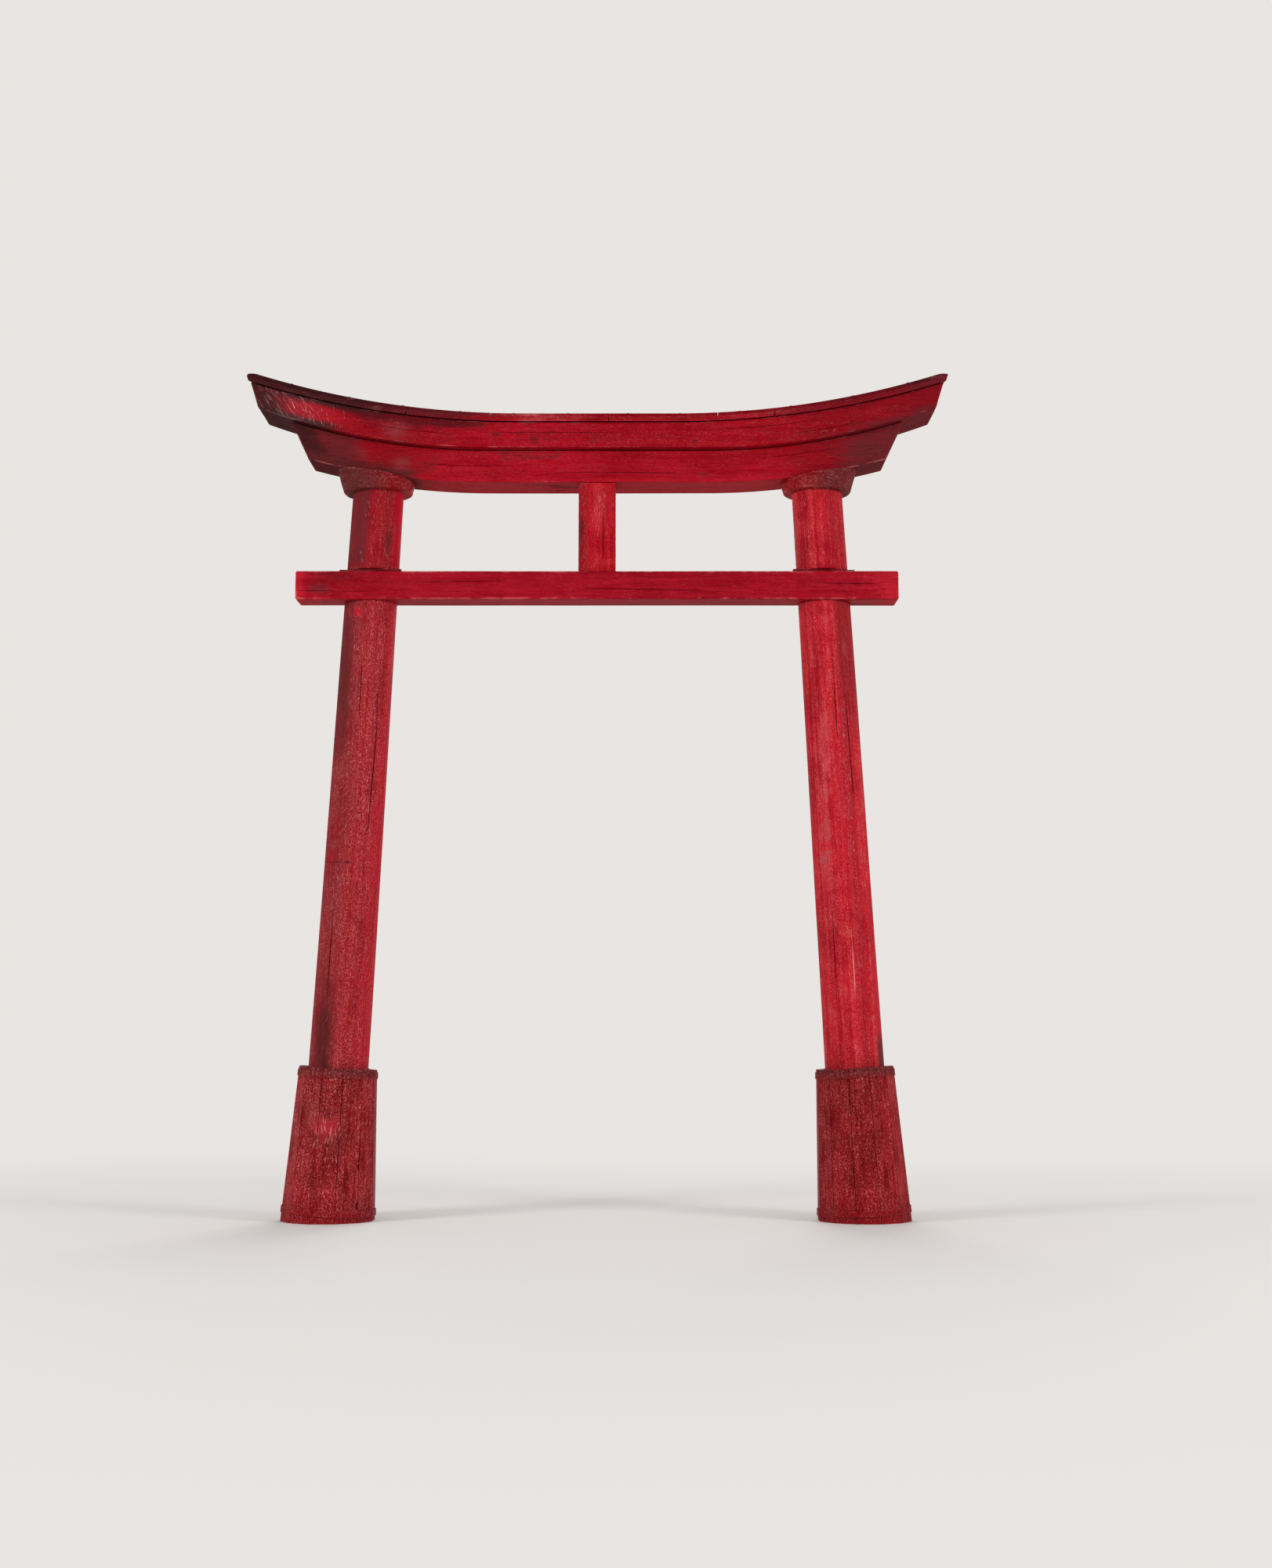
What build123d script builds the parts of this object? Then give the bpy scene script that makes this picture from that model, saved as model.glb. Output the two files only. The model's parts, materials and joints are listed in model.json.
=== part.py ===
from build123d import *
from math import asin, atan, cos, degrees, radians, sin, sqrt, tan
import os

# A timber shrine gate of the curved kind: two logs lean in on flared root sleeves, carry a ring each,
# and hold up a pair of upswept lintels. A tie beam is halved into the fronts of the logs.
# Millimetres, +Z up. X runs along the lintels, the front faces -Y, and the origin lies on the ground
# midway between the feet.

# Driving dimensions: stance of the logs
foot_spacing = 2670.0
lean = 3.2
log_foot_diameter = 312.0
log_taper = 0.013
shoulder_height = 3680.0
log_tenon_diameter = 110.0
log_tenon_in_lintel = 90.0

# Driving dimensions: root sleeves of flat tapered staves, held by two hoops driven on over them
sleeve_height = 757.0
sleeve_foot_wall = 73.0
sleeve_top_wall = 39.0
sleeve_bevel = 5.0
stave_count = 12
stave_gap = 2.0
hoop_width = 34.0
hoop_thickness = 4.0
foot_hoop_height = 34.0
top_hoop_drop = 16.0

# Driving dimensions: rings on the logs, wider at the top than at the foot
ring_foot_diameter = 344.0
ring_flare = 16.0
ring_thickness = 80.0
ring_bevel = 8.0

# Driving dimensions: tie beam, its keys and its pegs
beam_drop = 425.0
beam_height = 150.0
beam_depth = 190.0
beam_length = 3060.0
beam_proud = 13.0
beam_left_at_log = 124.0
beam_bevel = 6.0
key_gap = 16.0
key_slope = 1.5
key_depth = 84.0
key_overhang = 22.0
key_bevel = 2.0
peg_diameter = 28.0
peg_bite = 70.0
peg_head = 12.0
peg_bevel = 3.0

# Driving dimensions: centre strut
strut_width = 193.0
strut_depth = 150.0
strut_setback = 4.0
strut_bevel = 6.0
strut_tenon_width = 90.0
strut_tenon_depth = 50.0
strut_tenon_length = 60.0

# Driving dimensions: lower and upper lintel
lower_straight = 570.0
lower_radius = 3500.0
lower_height = 170.0
lower_depth = 250.0
lower_half_length = 1476.0
lower_end_slant = 25.0
lower_bevel = 7.0
upper_face_height = 135.0
upper_depth = 340.0
upper_half_length = 1732.0
upper_end_slant = 17.0

# Driving dimensions: roof over the upper lintel
roof_straight = 400.0
roof_radius = 4600.0
roof_pitch = 12.0
board_thickness = 28.0
board_eave = 14.0
board_end_overhang = 8.0
cap_thickness = 24.0
cap_width = 116.0
cap_end_overhang = 6.0

# Driving dimensions: fits
clearance = 0.3
blind_gap = 2.0

# Lean of the logs
lean_sine = sin(radians(lean))
lean_cosine = cos(radians(lean))
lean_slope = tan(radians(lean))
foot_x = foot_spacing / 2
log_frame = Plane(
    origin=(foot_x, 0, 0),
    x_dir=(lean_cosine, 0, lean_sine),
    z_dir=(-lean_sine, 0, lean_cosine),
)
log_axis = Axis(log_frame.origin, log_frame.z_dir)
ground_cut = log_foot_diameter / 2


def log_x(height):
    """Distance of the log's centre from the middle of the gate, at a height above ground."""
    return foot_x - height * lean_slope


def log_radius(height):
    """Radius of the tapering log, at a height along it."""
    return log_foot_diameter / 2 - height * log_taper / 2


def sleeve_radius(height):
    """Outer radius of the root sleeve, at a height along the log."""
    foot_radius = log_radius(0) + sleeve_foot_wall
    top_radius = log_radius(sleeve_height) + sleeve_top_wall
    return foot_radius + (top_radius - foot_radius) * height / sleeve_height


def rise(x, straight, radius):
    """How far an upswept edge has risen at a distance from the middle of the gate."""
    return radius - sqrt(radius**2 - (x - straight) ** 2)


# Places that follow from the sizes
beam_top = shoulder_height - beam_drop
beam_underside = beam_top - beam_height
beam_middle = (beam_underside + beam_top) / 2
beam_front = -(log_radius(beam_middle) + beam_proud)
lap_face = beam_front + beam_left_at_log
crossing_x = log_x(beam_middle)
ring_x = log_x(shoulder_height)
ring_top = shoulder_height + ring_thickness
lower_underside = ring_top - rise(ring_x, lower_straight, lower_radius)
lower_top = lower_underside + lower_height
upper_straight = lower_straight
upper_radius = lower_radius - lower_height
upper_underside = lower_top + clearance
upper_ridge = lower_top + upper_face_height + upper_depth / 2 * tan(radians(roof_pitch))
sweep_reach = upper_half_length + upper_depth
strut_front = -(lower_depth / 2 - strut_setback)
strut_middle_y = strut_front + strut_depth / 2
front_slope = Vector(0, -cos(radians(roof_pitch)), -sin(radians(roof_pitch)))
back_slope = Vector(0, cos(radians(roof_pitch)), -sin(radians(roof_pitch)))

os.makedirs("parts", exist_ok=True)


def keep(piece, name):
    """Label one finished piece and write it."""
    piece.part.label = name
    export_step(piece.part, f"parts/{name}.step")


def keep_pair(piece, name):
    """Write a right-hand piece and its mirrored left-hand twin."""
    keep(piece, f"right_{name}")
    with BuildPart() as twin:
        add(mirror(piece.part, about=Plane.YZ, mode=Mode.PRIVATE))
    keep(twin, f"left_{name}")


def swept_edge(height, straight, radius):
    """One long edge of a lintel: level in the middle, then an arc up to each end."""
    turn = degrees(asin((sweep_reach - straight) / radius))
    down = 270.0
    left = CenterArc((-straight, height + radius), radius, down - turn, turn)
    Line((-straight, height), (straight, height))
    right = CenterArc((straight, height + radius), radius, down, turn)
    return left @ 0, right @ 1


def swept_band(height, thickness, straight, radius):
    """Outline between two parallel upswept edges."""
    low_left, low_right = swept_edge(height, straight, radius)
    high_left, high_right = swept_edge(height + thickness, straight, radius - thickness)
    Line(low_left, high_left)
    Line(low_right, high_right)


def trim_ends(half_length, height, slant, mode):
    """Upright plate with ends cut on the slant, longer towards the top."""
    margin = sweep_reach / 2
    spread = margin * tan(radians(slant))
    short = half_length - spread
    long = half_length + spread
    low = height - margin
    high = height + margin
    Polygon((-short, low), (short, low), (long, high), (-long, high), mode=mode)


def taper_between(low, high, radius):
    """Angle in degrees by which a side closes in between two heights along the log."""
    return degrees(atan((radius(low) - radius(high)) / (high - low)))


# Log blank: round, tapering and leaning, also used to scribe the pieces that fit round it
def log_blank(gap, top):
    """Add the leaning log from below ground to a height along it, enlarged by a gap."""
    with BuildSketch(log_frame.offset(-ground_cut)) as butt:
        Circle(log_radius(-ground_cut) + gap)
    taper = taper_between(-ground_cut, top, log_radius)
    extrude(butt.sketch, amount=top + ground_cut, taper=taper)


# Pillars: logs with a flat foot, a halved housing for the tie beam and a round tenon on top
peg_face = Plane(
    origin=(crossing_x, log_radius(beam_middle), beam_middle),
    x_dir=(1, 0, 0),
    z_dir=(0, -1, 0),
)
peg_run = log_radius(beam_middle) - lap_face

with BuildPart() as pillar:
    log_blank(0, ring_top)
    split(bisect_by=Plane.XY, keep=Keep.TOP)
    split(bisect_by=Plane.XY.offset(shoulder_height), keep=Keep.BOTTOM)
    with BuildSketch(Plane.XY.offset(beam_underside)):
        with Locations((crossing_x, lap_face)):
            Rectangle(2 * log_foot_diameter, log_foot_diameter, align=(Align.CENTER, Align.MAX))
    extrude(amount=beam_height + key_gap, mode=Mode.SUBTRACT)
    with BuildSketch(peg_face):
        Circle(peg_diameter / 2 + clearance)
    extrude(amount=peg_run, both=True, mode=Mode.SUBTRACT)
    with BuildSketch(Plane.XY.offset(shoulder_height)):
        with Locations((ring_x, 0)):
            Circle(log_tenon_diameter / 2)
    extrude(amount=ring_thickness + log_tenon_in_lintel)
keep_pair(pillar, "pillar")


# Root sleeves: flat staves set edge to edge round the foot of each log, flared towards the ground
def stave_ring(low, high, apothem, mode):
    """Add or cut a tapered block with one flat for each stave, between two heights along the log."""
    with BuildSketch(log_frame.offset(low)) as outline:
        RegularPolygon(
            apothem(low),
            stave_count,
            major_radius=False,
            rotation=180 / stave_count,
            align=None,
        )
    taper = taper_between(low, high, apothem)
    extrude(outline.sketch, amount=high - low, taper=taper, mode=mode)


def stave_inside(height):
    """Distance from the log's axis to the back of a stave."""
    return log_radius(height) + clearance


with BuildPart() as root_sleeve:
    stave_ring(-ground_cut, sleeve_height, sleeve_radius, Mode.ADD)
    chamfer(root_sleeve.faces().sort_by(log_axis)[-1].edges(), length=sleeve_bevel)
    stave_ring(-ground_cut, sleeve_height, stave_inside, Mode.SUBTRACT)
    split(bisect_by=Plane.XY, keep=Keep.TOP)
    with BuildSketch(log_frame):
        with PolarLocations(0, stave_count, start_angle=180 / stave_count):
            Rectangle(log_foot_diameter * 2, stave_gap, align=(Align.MIN, Align.CENTER))
    extrude(amount=sleeve_height + ground_cut, both=True, mode=Mode.SUBTRACT)
keep_pair(root_sleeve, "root_sleeve")


# Hoops: flat iron bands bent round the staves
def hoop_inside(height):
    """Distance from the log's axis to the back of a hoop."""
    return sleeve_radius(height) + clearance


def hoop_outside(height):
    """Distance from the log's axis to the face of a hoop."""
    return hoop_inside(height) + hoop_thickness


top_hoop_height = sleeve_height - top_hoop_drop - hoop_width

for base, name in ((foot_hoop_height, "foot_hoop"), (top_hoop_height, "top_hoop")):
    with BuildPart() as hoop:
        stave_ring(base, base + hoop_width, hoop_outside, Mode.ADD)
        stave_ring(base, base + hoop_width, hoop_inside, Mode.SUBTRACT)
    keep_pair(hoop, name)

# Pillar rings: flared round blocks on the shoulders of the logs, scribed to the lower lintel's curve
ring_blank = ring_thickness + ring_foot_diameter / 2

with BuildPart() as pillar_ring:
    with BuildSketch(Plane.XY.offset(shoulder_height)):
        with Locations((ring_x, 0)):
            Circle(ring_foot_diameter / 2)
    extrude(amount=ring_blank, taper=-ring_flare)
    chamfer(pillar_ring.faces().sort_by(Axis.Z)[0].edges(), length=ring_bevel)
    with BuildSketch(Plane.XY.offset(shoulder_height)):
        with Locations((ring_x, 0)):
            Circle(log_tenon_diameter / 2 + clearance)
    extrude(amount=ring_blank, mode=Mode.SUBTRACT)
    with BuildSketch(Plane.XZ):
        with BuildLine():
            seat = lower_underside - clearance
            seat_left, seat_right = swept_edge(seat, lower_straight, lower_radius + clearance)
            floor = shoulder_height - ring_thickness
            Polyline(seat_left, (seat_left.X, floor), (seat_right.X, floor), seat_right)
        make_face()
    extrude(amount=ring_foot_diameter, both=True, mode=Mode.INTERSECT)
keep_pair(pillar_ring, "pillar_ring")

# Scribed notches: what the tie beam loses where it is halved over each log
with BuildPart() as log_notch:
    log_blank(clearance, ring_top)
    split(bisect_by=Plane.XZ.offset(-lap_face), keep=Keep.BOTTOM)

# Tie beam: square ends, halved over the fronts of the logs, mortised on top for the strut
with BuildPart() as tie_beam:
    with BuildSketch(Plane.XY.offset(beam_underside)):
        with Locations((0, beam_front)):
            Rectangle(beam_length, beam_depth, align=(Align.CENTER, Align.MIN))
    extrude(amount=beam_height)
    chamfer(tie_beam.edges(), length=beam_bevel)
    add(log_notch.part, mode=Mode.SUBTRACT)
    add(mirror(log_notch.part, about=Plane.YZ, mode=Mode.PRIVATE), mode=Mode.SUBTRACT)
    with BuildSketch(Plane(origin=(0, lap_face, beam_middle), x_dir=(1, 0, 0), z_dir=(0, -1, 0))):
        with Locations((crossing_x, 0), (-crossing_x, 0)):
            Circle(peg_diameter / 2 + clearance)
    extrude(amount=peg_bite + blind_gap, mode=Mode.SUBTRACT)
    with BuildSketch(Plane.XY.offset(beam_top)):
        with Locations((0, strut_middle_y)):
            Rectangle(strut_tenon_width + 2 * clearance, strut_tenon_depth + 2 * clearance)
    extrude(amount=-(strut_tenon_length + blind_gap), mode=Mode.SUBTRACT)
keep(tie_beam, "tie_beam")

# Folding keys: a pair of slim wedges above the tie beam in each log, driven from opposite sides
key_x = log_x(beam_top)
key_inside = log_radius(beam_top) - key_overhang
key_outside = log_radius(beam_top) + key_overhang
key_plane = Plane.XZ.offset(-(lap_face - clearance))


def key_line(x):
    """Height of the sloping joint between the two keys."""
    return beam_top + key_gap / 2 + (x - key_x) * tan(radians(key_slope))


with BuildPart() as outer_key:
    with BuildSketch(key_plane):
        thin_end = key_x - key_inside
        thick_end = key_x + key_outside
        Polygon(
            (thin_end, beam_top),
            (thick_end, beam_top),
            (thick_end, key_line(thick_end)),
            (thin_end, key_line(thin_end)),
        )
    extrude(amount=key_depth)
    chamfer(outer_key.faces().sort_by(Axis.X)[-1].edges(), length=key_bevel)
keep_pair(outer_key, "outer_key")

with BuildPart() as inner_key:
    with BuildSketch(key_plane):
        thin_end = key_x + key_inside
        thick_end = key_x - key_outside
        key_ceiling = beam_top + key_gap
        Polygon(
            (thick_end, key_line(thick_end)),
            (thin_end, key_line(thin_end)),
            (thin_end, key_ceiling),
            (thick_end, key_ceiling),
        )
    extrude(amount=key_depth)
    chamfer(inner_key.faces().sort_by(Axis.X)[0].edges(), length=key_bevel)
keep_pair(inner_key, "inner_key")

# Draw pegs: driven from behind through each log into the tie beam
with BuildPart() as beam_peg:
    with BuildSketch(peg_face.offset(-peg_head)):
        Circle(peg_diameter / 2)
    extrude(amount=peg_head + peg_run + peg_bite)
    chamfer(beam_peg.faces().sort_by(Axis.Y)[-1].edges(), length=peg_bevel)
keep_pair(beam_peg, "beam_peg")

# Centre strut: a square post between tie beam and lower lintel, tenoned at both ends
with BuildPart() as centre_strut:
    with BuildSketch(Plane.XY.offset(beam_top)):
        with Locations((0, strut_middle_y)):
            Rectangle(strut_width, strut_depth)
    extrude(amount=lower_underside - beam_top)
    chamfer(centre_strut.edges().filter_by(Axis.Z), length=strut_bevel)
    with BuildSketch(Plane.XY.offset(beam_top - strut_tenon_length)):
        with Locations((0, strut_middle_y)):
            Rectangle(strut_tenon_width, strut_tenon_depth)
    extrude(amount=lower_underside - beam_top + 2 * strut_tenon_length)
keep(centre_strut, "centre_strut")

# Lower lintel: upswept beam that sits on the rings, with slanted ends
lower_corner = lower_underside + rise(lower_half_length, lower_straight, lower_radius)

with BuildPart() as lower_lintel:
    with BuildSketch(Plane.XZ):
        with BuildLine():
            swept_band(lower_underside, lower_height, lower_straight, lower_radius)
        make_face()
        trim_ends(lower_half_length, lower_corner, lower_end_slant, Mode.INTERSECT)
    extrude(amount=lower_depth / 2, both=True)
    under_edges = lower_lintel.edges().filter_by(Axis.Y, reverse=True)
    front_and_back = lower_lintel.faces().filter_by(Axis.Y).edges()
    chamfer(front_and_back & under_edges, length=lower_bevel)
    with BuildSketch(Plane.XY.offset(shoulder_height)):
        with Locations((ring_x, 0), (-ring_x, 0)):
            Circle(log_tenon_diameter / 2 + clearance)
    extrude(amount=ring_thickness + log_tenon_in_lintel + blind_gap, mode=Mode.SUBTRACT)
    with BuildSketch(Plane.XY.offset(lower_underside)):
        with Locations((0, strut_middle_y)):
            Rectangle(strut_tenon_width + 2 * clearance, strut_tenon_depth + 2 * clearance)
    extrude(amount=strut_tenon_length + blind_gap, mode=Mode.SUBTRACT)
keep(lower_lintel, "lower_lintel")

# Upper lintel: wider, with a low gabled top that sweeps up more than its underside
upper_corner = upper_underside + rise(upper_half_length, upper_straight, upper_radius)

with BuildSketch(Plane.XZ) as gable:
    with BuildLine():
        ridge_left, ridge_right = swept_edge(upper_ridge, roof_straight, roof_radius)
        cellar = lower_underside - upper_depth
        Polyline(ridge_left, (ridge_left.X, cellar), (ridge_right.X, cellar), ridge_right)
    make_face()

with BuildSketch(Plane.XZ) as upper_elevation:
    with BuildLine():
        bed_left, bed_right = swept_edge(upper_underside, upper_straight, upper_radius)
        sky = upper_ridge + sweep_reach
        Polyline(bed_left, (bed_left.X, sky), (bed_right.X, sky), bed_right)
    make_face()
    trim_ends(upper_half_length, upper_corner, upper_end_slant, Mode.INTERSECT)

with BuildPart() as upper_lintel:
    for slope in (front_slope, back_slope):
        extrude(gable.sketch, amount=upper_depth / 2 / cos(radians(roof_pitch)), dir=slope)
    extrude(upper_elevation.sketch, amount=upper_depth / 2, both=True, mode=Mode.INTERSECT)
keep(upper_lintel, "upper_lintel")


# Roof: a curved board on each slope and a cap over the joint between them
def roof_outline(lift, thickness):
    """Section of a layer that lies parallel to the upper lintel's ridge line."""
    swept_band(upper_ridge + lift, thickness, roof_straight, roof_radius - lift)


def roof_trim(overhang, half_width):
    """Cut the layer's ends on the same slant as the upper lintel's."""
    with BuildSketch(Plane.XZ) as trim:
        trim_ends(upper_half_length + overhang, upper_corner, upper_end_slant, Mode.ADD)
    extrude(trim.sketch, amount=half_width, both=True, mode=Mode.INTERSECT)


board_half_width = upper_depth / 2 + board_eave

with BuildSketch(Plane.XZ) as board_section:
    with BuildLine():
        roof_outline(clearance, board_thickness)
    make_face()

for name, slope in (("front_roof_board", front_slope), ("back_roof_board", back_slope)):
    with BuildPart() as roof_board:
        extrude(board_section.sketch, amount=board_half_width / cos(radians(roof_pitch)), dir=slope)
        roof_trim(board_end_overhang, board_half_width)
    keep(roof_board, name)

with BuildSketch(Plane.XZ) as cap_section:
    with BuildLine():
        roof_outline(board_thickness + 2 * clearance, cap_thickness)
    make_face()

with BuildPart() as ridge_cap:
    for slope in (front_slope, back_slope):
        extrude(cap_section.sketch, amount=cap_width / 2 / cos(radians(roof_pitch)), dir=slope)
    roof_trim(board_end_overhang + cap_end_overhang, cap_width / 2)
keep(ridge_cap, "ridge_cap")
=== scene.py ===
import json
import math
import random

import bmesh
import bpy
from mathutils import Matrix, Vector, noise
from mathutils.bvhtree import BVHTree


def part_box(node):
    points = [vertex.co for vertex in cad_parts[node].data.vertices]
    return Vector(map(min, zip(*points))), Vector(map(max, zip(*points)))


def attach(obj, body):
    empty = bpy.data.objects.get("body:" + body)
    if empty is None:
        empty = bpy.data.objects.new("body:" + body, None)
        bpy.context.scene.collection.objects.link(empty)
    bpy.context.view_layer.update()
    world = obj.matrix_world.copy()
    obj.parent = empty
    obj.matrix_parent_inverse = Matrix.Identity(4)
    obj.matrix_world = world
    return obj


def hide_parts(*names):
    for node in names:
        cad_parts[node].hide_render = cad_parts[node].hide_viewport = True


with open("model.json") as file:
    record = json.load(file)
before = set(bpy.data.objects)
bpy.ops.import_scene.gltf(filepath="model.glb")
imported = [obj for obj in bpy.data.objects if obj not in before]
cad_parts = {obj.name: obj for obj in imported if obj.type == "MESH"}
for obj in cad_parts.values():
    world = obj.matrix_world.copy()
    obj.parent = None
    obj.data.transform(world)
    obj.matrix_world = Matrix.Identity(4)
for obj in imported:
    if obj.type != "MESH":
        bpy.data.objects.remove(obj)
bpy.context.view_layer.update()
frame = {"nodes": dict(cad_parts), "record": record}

# Pillars: two round logs that taper upwards and lean in towards each other. They are barked, smoothed with
# the drawknife, lacquered crimson by hand and left to check as they dry. Their outer sides are darkened to
# brown-black, partly by soot and weather and partly as painted shade. A housing in front takes the tie
# beam.
lean = math.radians(3.2)
foot_middle = frame["record"]["mounts"][1]["pos_m"][0]
foot_radius = 0.156
log_taper = 0.0065
shoulder_height = 3.680
log_columns = 80
log_rows = 300
log_check_depth = 0.03
hidden_lap = 0.003
clearance = 0.0003
hewn_waves = ((0.35, 0.9), (1.0, 0.5), (2.7, 0.25))
hewn_crest = 1.2
run_reach = 0.03
run_rise = 0.7
run_taper = 0.4
run_widths = (0.7, 1.2)
growth_ring_rate = 1050.0
weld_distance = 0.00005
rounded_below = math.radians(34)
worn_above = math.radians(20)


class Tone:
    """One socket of a material's nodes. Arithmetic on tones adds the Math nodes that work it out."""

    def __init__(self, tree, socket=None):
        self.tree = tree
        self.socket = socket

    def node(self, kind, settings=None, inputs=None, output=0):
        """Add any node. Its settings go first, then the values or links of its sockets."""
        made = self.tree.nodes.new(kind)
        for key, value in (settings or {}).items():
            setattr(made, key, value)
        for key, value in (inputs or {}).items():
            if isinstance(value, Tone):
                self.tree.links.new(value.socket, made.inputs[key])
            else:
                made.inputs[key].default_value = value
        return Tone(self.tree, made.outputs[output])

    def math(self, operation, *terms):
        return self.node("ShaderNodeMath", {"operation": operation}, dict(enumerate(terms)))

    def __add__(self, other):
        return self.math("ADD", self, other)

    def __sub__(self, other):
        return self.math("SUBTRACT", self, other)

    def __rsub__(self, other):
        return self.math("SUBTRACT", other, self)

    def __mul__(self, other):
        return self.math("MULTIPLY", self, other)

    def __abs__(self):
        return self.math("ABSOLUTE", self)

    __radd__ = __add__

    def ramp(self, low, high):
        """0 at low and 1 at high, eased in between and level beyond. Low may be the larger number."""
        settings = {"interpolation_type": "SMOOTHSTEP"}
        return self.node("ShaderNodeMapRange", settings, {0: self, 1: low, 2: high})

    def near(self, middle, reach):
        """1 at a value, falling away to 0 at a distance from it on both sides."""
        return abs(self - middle).ramp(reach, 0.0)

    def blend(self, first, second):
        """The first colour where this mask is 0, the second where it is 1."""
        return self.node("ShaderNodeMix", {"data_type": "RGBA"}, {0: self, 6: first, 7: second}, output=2)

    def stretch(self, across, deep, along):
        """These coordinates multiplied by three factors."""
        inputs = {0: self, 1: (across, deep, along)}
        return self.node("ShaderNodeVectorMath", {"operation": "MULTIPLY"}, inputs)

    def length(self):
        """How far these coordinates are from the origin."""
        return self.node("ShaderNodeVectorMath", {"operation": "LENGTH"}, {0: self}, output=1)

    def part(self, axis):
        """One of the three coordinates."""
        return self.node("ShaderNodeSeparateXYZ", None, {0: self}, output="XYZ".index(axis))

    def cloud(self, scale, detail=2.0, roughness=0.5, distortion=0.0):
        """Soft noise at these coordinates, around a half."""
        inputs = {"Vector": self, "Scale": scale, "Detail": detail}
        inputs |= {"Roughness": roughness, "Distortion": distortion}
        return self.node("ShaderNodeTexNoise", None, inputs)


def paint(red, green, blue):
    """A colour by its screen values, 0 to 255, in the renderer's own linear ones."""
    return (*(((channel / 255 + 0.055) / 1.055) ** 2.4 for channel in (red, green, blue)), 1.0)


umber = paint(86, 31, 33)
soot = paint(64, 25, 27)
pale_wear_and_glint = paint(236, 134, 132)


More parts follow.
